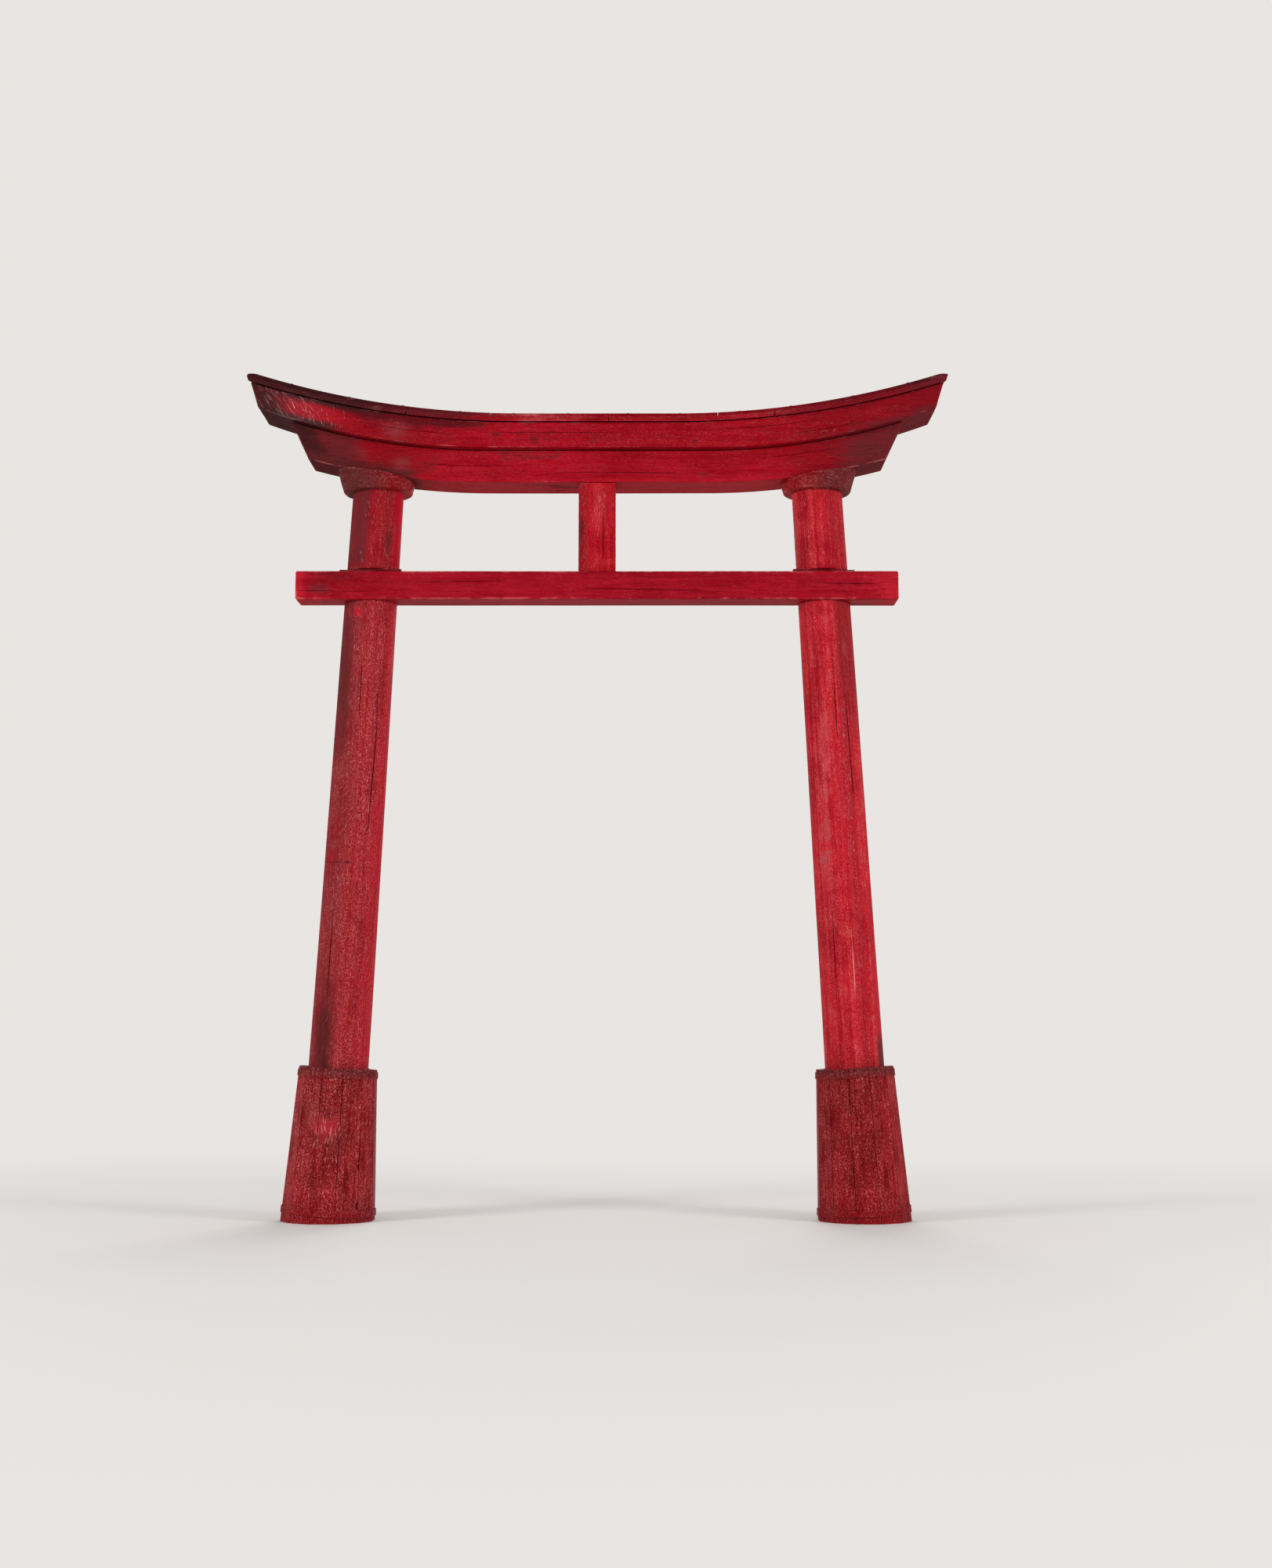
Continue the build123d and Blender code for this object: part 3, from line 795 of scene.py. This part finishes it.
def end_splits(ends, pith):
    """The drying splits that run out from the pith on the sawn ends of a blank."""
    places = []
    for end in ends:
        for number in range(split_count):
            turn = math.tau * (number + random.uniform(0.1, 0.8)) / split_count
            half_length = random.uniform(*split_lengths)
            out = Matrix.Translation((0, 0, pith_width + half_length))
            slit = Matrix.Diagonal((split_depth, random.uniform(*split_widths), half_length, 1))
            places.append(Matrix.Translation((end, *pith)) @ Matrix.Rotation(turn, 4, "X") @ out @ slit)
    return places


# Drying checks on both faces of the beam: place along it, length, and height as a share of the beam's
beam_checks = ((-0.62, 0.52, 0.62), (0.34, 0.66, 0.35), (1.31, 0.36, 0.55), (-1.40, 0.22, 0.30))
beam_check_width = 0.0016

beam = timber(beam_low, beam_high, beam_bevel, cell=0.0115)
random.seed("tie beam")
places = []
for across, length, height in beam_checks:
    for face in (beam_low.y, beam_high.y):
        spot = (across + random.uniform(-0.1, 0.1), face, beam_low.z + height * (beam_high.z - beam_low.z))
        tilt = Matrix.Rotation(math.radians(random.uniform(-1.0, 1.0)), 4, "Y")
        slit = Matrix.Diagonal((length / 2, face_check_depth, beam_check_width, 1))
        places.append(Matrix.Translation(spot) @ tilt @ slit)
hew(beam, grain=(0.9, 10.0, 10.0), depth=0.004, seed=4)
check(beam, places + end_splits((beam_low.x, beam_high.x), beam_pith))
for side in (-1, 1):
    notch = straight_log(foot_radius - hidden_lap, shoulder_height)
    lean_in(notch, side)
    saw_off(notch, (0, lap_face, 0), (0, 1, 0))
    carve(beam, notch)


def beam_coats(here):
    across, level = here.part("X"), here.part("Z")
    yield across.near(-1.33, 0.24) * level.ramp(3.15, 3.21) * 0.62, paint(112, 12, 24)
    yield across.ramp(-0.30, -1.10) * level.near(3.19, 0.04) * 0.4, paint(128, 6, 20)
    yield across.near(-1.40, 0.13) * level.near(3.16, 0.05) * 0.7, paint(108, 30, 37)
    yield across.ramp(1.20, 1.50) * 0.6, paint(182, 26, 42)
    yield across.ramp(-1.46, -1.51) * 0.6, paint(186, 30, 46)
    yield level.ramp(3.16, 3.105) * across.ramp(-0.9, -1.3) * 0.5, paint(176, 18, 36)


coat = lacquer(
    "beam_lacquer",
    grain=(2.2, 34.0, 34.0),
    deep=paint(138, 3, 22),
    bright=paint(160, 10, 33),
    coats=beam_coats,
    speck_and_glint_strength=0.12,
    pith=beam_pith,
)
set_down("squared_tie_beam", beam, coat, "tie_beam", slot="beam_lacquer")

# Folding keys: pairs of slim oak wedges driven from both sides into the slot above the tie beam, with
# their struck ends bruised. Draw pegs: round oak pins driven from behind through log and beam.
key_middle = foot_middle - beam_high.z * math.tan(lean)
key_slope = math.tan(math.radians(1.5))
key_reach = 0.14


def key_coats(here):
    struck_end = abs(here.part("X")).near(key_middle, key_reach).ramp(0.3, 0.0)
    yield struck_end * 0.6, umber


key_coat = lacquer(
    "key_lacquer",
    grain=(8.0, 70.0, 70.0),
    deep=paint(112, 10, 20),
    bright=paint(146, 18, 30),
    coats=key_coats,
    speck_and_glint_strength=0.6,
)

for side in ("left", "right"):
    for kind in ("outer", "inner"):
        node = f"{side}_{kind}_key"
        low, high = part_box(node)
        key = timber(low, high, bevel=0.0015, cell=0.012)
        for vertex in key.verts:
            share = (vertex.co.z - low.z) / (high.z - low.z)
            joint = (beam_high.z + key_high.z) / 2 + (abs(vertex.co.x) - key_middle) * key_slope
            base, top = (beam_high.z, joint) if kind == "outer" else (joint, key_high.z)
            vertex.co.z = base + share * (top - base)
        hew(key, grain=(7.0, 50.0, 50.0), depth=0.0012, seed=len(node))
        set_down(f"{side}_{kind}_wedge", key, key_coat, node, slot="key_wood")
    frame["nodes"][f"{side}_beam_peg"].data.materials.clear()
    frame["nodes"][f"{side}_beam_peg"].data.materials.append(key_coat)

# Centre strut: a square post, tenoned into the tie beam below and the lower lintel above. The lacquer
# has run down its front in thick glossy drips.
strut_low, strut_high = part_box("centre_strut")
strut_foot = beam_high.z - hidden_lap
strut_head = lintel_bed + hidden_lap

# Drying checks of the strut, one in front and one behind: the middle of each, and half its length
strut_checks = (((0.031, strut_low.y, 3.43), 0.15), ((-0.022, strut_high.y, 3.52), 0.18))
strut_check_width = 0.0016
strut_check_depth = 0.020

# Runs of thick lacquer down its front
strut_runs = (
    (9, (0.005, 0.045), (3.59, 3.66), (0.03, 0.06), 0.012),
    (10, (-0.03, 0.02), (3.44, 3.60), (0.04, 0.10), 0.006),
    (4, (0.00, 0.03), (3.43, 3.46), (0.015, 0.03), 0.012),
    (8, (-0.07, -0.05), (3.50, 3.64), (0.02, 0.06), 0.005),
)

strut = timber(
    (strut_low.x, strut_low.y, strut_foot),
    (strut_high.x, strut_high.y, strut_head),
    bevel=0.006,
    cell=0.0095,
)
hew(strut, grain=(10.0, 10.0, 1.2), depth=0.004, seed=6)
places = []
for middle, half_length in strut_checks:
    slit = Matrix.Diagonal((strut_check_width, strut_check_depth, half_length, 1))
    places.append(Matrix.Translation(middle) @ slit)
check(strut, places)


def strut_coats(here):
    across, level = here.part("X"), here.part("Z")
    # Painted shade down the left side of the post, and painted light in a lighter patch in the middle of
    # its front
    yield across.ramp(0.01, -0.10) * 0.62, paint(118, 14, 28)
    yield across.near(-0.08, 0.035) * level.near(3.46, 0.16) * 0.6, umber
    yield across.near(-0.005, 0.05) * level.near(3.52, 0.14) * 0.5, paint(196, 30, 46)


def strut_daubs(here):
    front = here.part("Y").ramp(-0.09, -0.11)
    return here.part("X").near(0.015, 0.06) * here.part("Z").near(3.58, 0.15) * front


coat = lacquer(
    "strut_lacquer",
    grain=(40.0, 40.0, 3.0),
    deep=paint(158, 5, 22),
    bright=paint(194, 20, 37),
    coats=strut_coats,
    speck_and_glint_strength=0.35,
    daubs=strut_daubs,
)
skin = BVHTree.FromBMesh(strut)
runs = bmesh.new()
random.seed("strut")
for count, across, heights, lengths, width in strut_runs:
    for _ in range(count):
        spot = (random.uniform(*across), strut_low.y, random.uniform(*heights))
        tilt = Matrix.Rotation(math.radians(random.uniform(-25, 15)), 4, "X")
        length = random.uniform(*lengths)
        width_here = width * random.uniform(*run_widths)
        bend = random.uniform(-0.2, 0.05) * length
        lay(runs, skin, Matrix.Translation(spot) @ turned_to_front @ tilt, length, width_here, bend)
join(strut, runs)
set_down("square_strut", strut, coat, "centre_strut", slot="beam_lacquer")

# Lower lintel: a squared timber bowed up towards its ends, which are cut on the slant. It lies on the
# two rings and on the strut.
lower_height = 0.170
lower_half_depth = 0.125
lower_half_length = 1.476
lower_slant = math.tan(math.radians(25.0))
lower_pith = 0.02

# Drying checks on both of its faces: the place along it and the length of each
lower_checks = ((-0.85, 0.5), (0.2, 0.7), (1.1, 0.4))


def face_checks(rows, half_depth, depth, width):
    """The drying checks on the front and back of a lintel's straight blank."""
    places = []
    for across, length in rows:
        for face in (-half_depth, half_depth):
            spot = (across + random.uniform(-0.15, 0.15), face, random.uniform(0.05, 0.12))
            places.append(Matrix.Translation(spot) @ Matrix.Diagonal((length / 2, depth, width, 1)))
    return places


def sweep_up(work, half_length, thickness, slant, corner, under, over):
    """Bend a straight blank: its thickness runs between two upswept lines, its ends lean outwards."""
    for vertex in work.verts:
        across, deep, level = vertex.co
        place = across
        # The height sets how far the slant carries a point out, and that sets its height again
        for _ in range(6):
            height = under(place, deep) + (over(place, deep) - under(place, deep)) * level / thickness
            place = across / half_length * (half_length + (height - corner) * slant)
        vertex.co = (place, deep, height)


def lower_under(across, deep):
    return lintel_bed + rise(across, lintel_straight, lintel_radius)


def lower_over(across, deep):
    return lintel_bed + lower_height + rise(across, lintel_straight, lintel_radius - lower_height)


lower = timber(
    (-lower_half_length, -lower_half_depth, 0),
    (lower_half_length, lower_half_depth, lower_height),
    bevel=0.007,
    cell=0.0125,
)
random.seed("lower lintel")
hew(lower, grain=(0.9, 10.0, 10.0), depth=0.004, seed=11)
places = face_checks(lower_checks, lower_half_depth, depth=face_check_depth, width=0.0014)
places += end_splits((-lower_half_length, lower_half_length), (lower_pith, lower_height / 2))
check(lower, places)
sweep_up(
    lower,
    lower_half_length,
    lower_height,
    lower_slant,
    lower_under(lower_half_length, 0),
    lower_under,
    lower_over,
)


def height_above(here, bed, radius):
    """How high a place on an upswept timber is above its underside, near enough for a stain."""
    across, level = here.part("X"), here.part("Z")
    beyond = across.math("MAXIMUM", abs(across) - lintel_straight, 0.0)
    return level - bed - beyond * beyond * (0.5 / radius)


def lower_coats(here):
    across, level = here.part("X"), here.part("Z")
    height = height_above(here, lintel_bed, lintel_radius)
    # Painted light towards the bottom, for an underside lit from the floor, and above it a thin line of
    # painted shade
    yield height.ramp(0.040, 0.012) * 0.7, paint(170, 14, 34)
    yield height.near(0.046, 0.006) * across.near(0.35, 0.9) * 0.45, paint(92, 2, 12)
    yield across.ramp(-0.60, -1.05) * 0.6, paint(120, 10, 22)
    yield across.ramp(-1.06, -1.34) * 0.8, paint(98, 30, 35)
    yield across.near(-1.19, 0.10) * level.near(3.88, 0.09) * 0.5, paint(130, 48, 52)
    yield (across + level * 0.47).ramp(0.50, 0.38) * 0.9, soot
    yield across.ramp(-0.84, -0.98) * height.ramp(0.09, 0.02) * 0.85, umber
    yield across.near(-1.00, 0.10) * level.near(3.81, 0.07) * 0.7, paint(134, 50, 54)
    yield across.ramp(0.70, 1.20) * 0.6, paint(116, 10, 22)
    yield across.ramp(1.10, 1.36) * 0.75, paint(98, 32, 37)


coat = lacquer(
    "lower_lintel_lacquer",
    grain=(2.2, 34.0, 34.0),
    deep=paint(147, 2, 21),
    bright=paint(172, 9, 33),
    coats=lower_coats,
    speck_and_glint_strength=0.16,
    pith=(lower_pith, lower_under(lower_half_length, 0) + lower_height / 2),
)
set_down("swept_lower_lintel", lower, coat, "lower_lintel", slot="lintel_lacquer")

# Upper lintel: the deeper timber above it, with the same sweep below and a ridged back that rises more
# towards the tips. Its lacquer is deep crimson in the middle and brown-black at the ends.
upper_half_depth = 0.170
upper_height = 0.171
upper_half_length = 1.732
upper_slant = math.tan(math.radians(17.0))
upper_pith = -0.03
upper_bed = lintel_bed + lower_height
upper_radius = lintel_radius - lower_height
ridge_straight = 0.400
ridge_radius = 4.600
roof_fall = math.tan(math.radians(12.0))
upper_face_height = 0.135
ridge_height = upper_bed + upper_face_height + upper_half_depth * roof_fall
upper_corner = upper_bed + rise(upper_half_length, lintel_straight, upper_radius)


def upper_under(across, deep):
    return upper_bed + rise(across, lintel_straight, upper_radius)


def ridge_over(lift):
    """The height of a layer that lies over the ridged back, by how far it is above it."""
    return lambda across, deep: (
        ridge_height + lift + rise(across, ridge_straight, ridge_radius - lift) - abs(deep) * roof_fall
    )


# Drying checks on both of its faces: the place along it and the length of each
upper_checks = ((-1.05, 0.6), (-0.2, 0.8), (0.75, 0.7), (1.35, 0.4))

# Runs of thick lacquer on the front, heaped on the left end. Their heights are from its middle line
upper_runs = (
    (52, (-1.73, -1.42), (-0.075, 0.055), (0.07, 0.16), 0.007, 38),
    (22, (-1.50, -1.28), (-0.070, 0.040), (0.03, 0.08), 0.007, 14),
    (12, (-1.62, -1.45), (-0.085, -0.03), (0.03, 0.07), 0.008, 70),
    (12, (-1.12, -0.98), (-0.06, 0.03), (0.02, 0.05), 0.008, 60),
    (14, (1.00, 1.22), (-0.07, 0.00), (0.03, 0.08), 0.006, -55),
)

upper = timber(
    (-upper_half_length, -upper_half_depth, 0),
    (upper_half_length, upper_half_depth, upper_height),
    bevel=0.008,
    cell=0.014,
)
random.seed("upper lintel")
hew(upper, grain=(0.9, 9.0, 9.0), depth=0.005, seed=13)
places = face_checks(upper_checks, upper_half_depth, depth=0.024, width=0.0015)
places += end_splits((-upper_half_length, upper_half_length), (upper_pith, upper_height / 2))
check(upper, places)
sweep_up(upper, upper_half_length, upper_height, upper_slant, upper_corner, upper_under, ridge_over(0.0))


def upper_coats(here):
    across, level = here.part("X"), here.part("Z")
    height = height_above(here, upper_bed, upper_radius)
    yield across.near(0.0, 1.0) * height.near(0.07, 0.07) * 0.35, paint(122, 2, 16)
    yield across.ramp(-0.45, -1.00) * 0.5, paint(112, 8, 20)
    yield across.ramp(-0.35, -0.75) * height.ramp(0.07, 0.12) * 0.8, paint(88, 14, 22)
    yield across.ramp(0.70, 1.20) * height.ramp(0.07, 0.13) * 0.5, paint(112, 8, 20)
    yield across.near(-1.03, 0.12) * level.near(3.98, 0.09) * 0.6, paint(136, 52, 56)
    yield across.near(-1.42, 0.30) * height.near(0.075, 0.075), paint(164, 14, 29)
    yield (across + level * 0.42).ramp(0.20, 0.04) * 0.95, soot
    yield across.ramp(-0.95, -1.30) * height.ramp(0.105, 0.135) * 0.9, soot
    yield across.ramp(-1.20, -1.42) * height.ramp(0.045, 0.015) * 0.85, soot
    yield across.ramp(0.75, 1.25) * 0.6, paint(118, 8, 22)
    yield across.ramp(1.30, 1.68) * 0.75, paint(122, 12, 24)
    yield across.ramp(1.05, 1.40) * height.ramp(0.07, 0.01) * 0.7, paint(98, 28, 34)


def upper_daubs(here):
    front = here.part("Y").ramp(-0.14, -0.16)
    return here.part("X").near(-1.52, 0.26) * front


coat = lacquer(
    "upper_lintel_lacquer",
    grain=(2.0, 30.0, 30.0),
    deep=paint(141, 2, 18),
    bright=paint(170, 9, 32),
    coats=upper_coats,
    speck_and_glint_strength=0.17,
    daubs=upper_daubs,
    pith=(upper_pith, upper_under(upper_half_length, 0) + upper_height / 2),
)


def place_on_upper(across, up):
    level = upper_under(across, 0) + upper_height / 2 + up
    return Matrix.Translation((across, -upper_half_depth, level)) @ turned_to_front


random.seed("lintel runs")
lay_rows(upper, upper_runs, place_on_upper, tilts=(-9, 9), bends=(-0.07, 0.07))
set_down("swept_upper_lintel", upper, coat, "upper_lintel", slot="lintel_lacquer")

# Roof boards: a row of curved boards on each slope of the upper lintel, butted end to end and nailed
# down. They keep the rain off it, and so have weathered most.
board_thickness = 0.028
board_reach = 0.184
board_end = 0.008
board_joint = 0.0006
board_middle_gap = 0.002
board_nail_rows = (0.085, 0.165)
roof_nail_spacing = 0.29
roof_pith = (0.3, 4.0)


def lengths_between(joints, half_length):
    """Both ends of each board in a row, with a narrow joint where two of them meet."""
    ends = [-half_length, *joints, half_length]
    for left, right in zip(ends, ends[1:]):
        left += board_joint / 2 if left > -half_length else 0.0
        right -= board_joint / 2 if right < half_length else 0.0
        yield left, right


def nail_down(work, row, half_length):
    """Drive a row of iron nails into the top of a piece, at a distance from the ridge."""
    skin = BVHTree.FromBMesh(work)
    heads = bmesh.new()
    count = round(2 * half_length / roof_nail_spacing)
    for number in range(count):
        across = (2 * (number + 0.5) / count - 1) * half_length + random.uniform(-0.02, 0.02)
        above = (across, row + random.uniform(-0.003, 0.003), 2 * ridge_height)
        seat, normal = skin.ray_cast(above, (0, 0, -1))[:2]
        upright = normal.to_track_quat("Z", "Y").to_matrix().to_4x4()
        dome(heads, Matrix.Translation(seat) @ upright, nail_radius, head_height)
    return heads


def roof_coats(here):
    across = here.part("X")
    yield across.ramp(-0.30, -0.85) * 0.85, paint(90, 16, 24)
    yield across.ramp(-0.85, -1.35) * 0.95, soot
    yield across.ramp(0.55, 1.25) * 0.8, paint(108, 10, 22)
    yield across.ramp(1.30, 1.70) * 0.7, paint(92, 28, 34)
    yield across.near(-0.28, 0.26) * 0.22, pale_wear_and_glint


roof_coat = lacquer(
    "roof_lacquer",
    grain=(2.6, 30.0, 30.0),
    deep=paint(130, 3, 18),
    bright=paint(160, 12, 32),
    coats=roof_coats,
    speck_and_glint_strength=0.3,
    pith=roof_pith,
)

for slope, name, joints in ((-1, "front", (-0.98, 0.06, 0.91)), (1, "back", (-0.62, 0.35, 1.12))):
    random.seed(f"{name} boards")
    half_length = upper_half_length + board_end
    near, far = sorted((slope * board_middle_gap, slope * board_reach))
    under, over = ridge_over(clearance), ridge_over(board_thickness)
    boards = []
    for left, right in lengths_between(joints, half_length):
        board = timber((left, near, 0), (right, far, board_thickness), bevel=0.0022, cell=0.0125)
        hew(board, grain=(1.0, 12.0, 12.0), depth=0.0024, seed=left * 7)
        sweep_up(board, half_length, board_thickness, upper_slant, upper_corner, under, over)
        boards.append(board)
    boards = gather(boards)
    rows = [nail_down(boards, slope * row, upper_half_length) for row in board_nail_rows]
    nailed = gather([boards, *rows])
    set_down(f"{name}_boarding", nailed, roof_coat, f"{name}_roof_board", slot="roof_lacquer")

# Ridge cap: a shallow angled board over the joint of the two slopes, in three lengths. Its ends are
# rounded off and worn.
cap_thickness = 0.024
cap_half_width = 0.058
cap_end = 0.006
cap_joints = (-0.55, 0.62)
cap_nail_rows = (-0.042, 0.042)
cap_rounding = 0.055
cap_wear = 0.65

random.seed("ridge cap")
half_length = upper_half_length + board_end + cap_end
under, over = ridge_over(board_thickness), ridge_over(board_thickness + cap_thickness)
caps = []
for left, right in lengths_between(cap_joints, half_length):
    low, high = (left, -cap_half_width, 0), (right, cap_half_width, cap_thickness)
    cap = timber(low, high, bevel=0.0018, cell=0.0125)
    for vertex in cap.verts:
        beyond = max(abs(vertex.co.x) - half_length + cap_rounding, 0.0) / cap_rounding
        vertex.co.z *= 1.0 - cap_wear * beyond**2
    hew(cap, grain=(1.0, 12.0, 12.0), depth=0.0020, seed=left * 5)
    sweep_up(cap, half_length, cap_thickness, upper_slant, upper_corner, under, over)
    caps.append(cap)
caps = gather(caps)
rows = [nail_down(caps, row, upper_half_length) for row in cap_nail_rows]
set_down("ridge_boarding", gather([caps, *rows]), roof_coat, "ridge_cap", slot="roof_lacquer")

# Floor and backdrop: plain pale studio paper. The floor fades into the backdrop with distance, so that
# no horizon shows, and the backdrop lights the gate with an even grey.
stage_white = paint(232, 229, 226)
room_light = (0.5, 0.5, 0.5, 1.0)
floor_radius = 60.0
fade_start = 1.8
fade_end = 7.0

work = bmesh.new()
bmesh.ops.create_circle(work, cap_ends=True, segments=96, radius=floor_radius)
floor_mesh = bpy.data.meshes.new("floor")
work.to_mesh(floor_mesh)
work.free()
floor = bpy.data.objects.new("floor", floor_mesh)
bpy.context.scene.collection.objects.link(floor)
floor_paper = bpy.data.materials.new("floor_paper")
floor_paper.use_nodes = True
tree = floor_paper.node_tree
paper = tree.nodes["Principled BSDF"]
here = Tone(tree).node("ShaderNodeTexCoord", output=3)
far = here.length().ramp(fade_start, fade_end)
seen = here.node("ShaderNodeLightPath")
glow = here.node("ShaderNodeEmission", None, {"Color": stage_white, "Strength": 1.0})
paper.inputs["Base Color"].default_value = paint(225, 222, 219)
paper.inputs["Roughness"].default_value = 0.9
paper.inputs["Specular IOR Level"].default_value = 0.1
matt = Tone(tree, paper.outputs[0])
mixed = here.node("ShaderNodeMixShader", None, {0: far * seen, 1: matt, 2: glow})
tree.links.new(mixed.socket, tree.nodes["Material Output"].inputs["Surface"])
floor_mesh.materials.append(floor_paper)

studio = bpy.context.scene.world or bpy.data.worlds.new("studio")
bpy.context.scene.world = studio
studio.use_nodes = True
tree = studio.node_tree
seen = Tone(tree).node("ShaderNodeLightPath")
level = seen.blend(room_light, stage_white)
tree.links.new(level.socket, tree.nodes["Background"].inputs["Color"])

# Lamps: two wide soft lamps in front, well out to both sides, and one behind. All aim at the middle of
# the gate. Each has its place, size and power.
gate_middle = Vector((0, 0, 2.2))
lamps = (
    ((-9.2, -6.6, 4.6), 4.0, 620.0),
    ((9.2, -6.6, 4.0), 4.0, 580.0),
    ((1.0, 8.0, 7.0), 6.0, 380.0),
)

for place, size, power in lamps:
    lamp_data = bpy.data.lights.new("lamp", "AREA")
    lamp_data.shape = "DISK"
    lamp_data.size = size
    lamp_data.energy = power
    lamp = bpy.data.objects.new("lamp", lamp_data)
    lamp.location = place
    lamp.rotation_mode = "QUATERNION"
    lamp.rotation_quaternion = (Vector(place) - gate_middle).to_track_quat("Z", "Y")
    bpy.context.scene.collection.objects.link(lamp)

# Camera: a metre above the ground, eleven metres in front and a little to the right of the middle. It
# is tilted up, so that the whole gate is in view.
camera_tilt = math.radians(6.133)
camera_data = bpy.data.cameras.new("camera")
camera_data.lens = 50.0
camera_data.sensor_width = 36.0
camera = bpy.data.objects.new("camera", camera_data)
camera.location = (0.198, -11.0, 1.0)
camera.rotation_euler = (math.radians(90.0) + camera_tilt, 0.0, 0.0)
bpy.context.scene.collection.objects.link(camera)
bpy.context.scene.camera = camera
bpy.context.scene.view_settings.view_transform = "Standard"
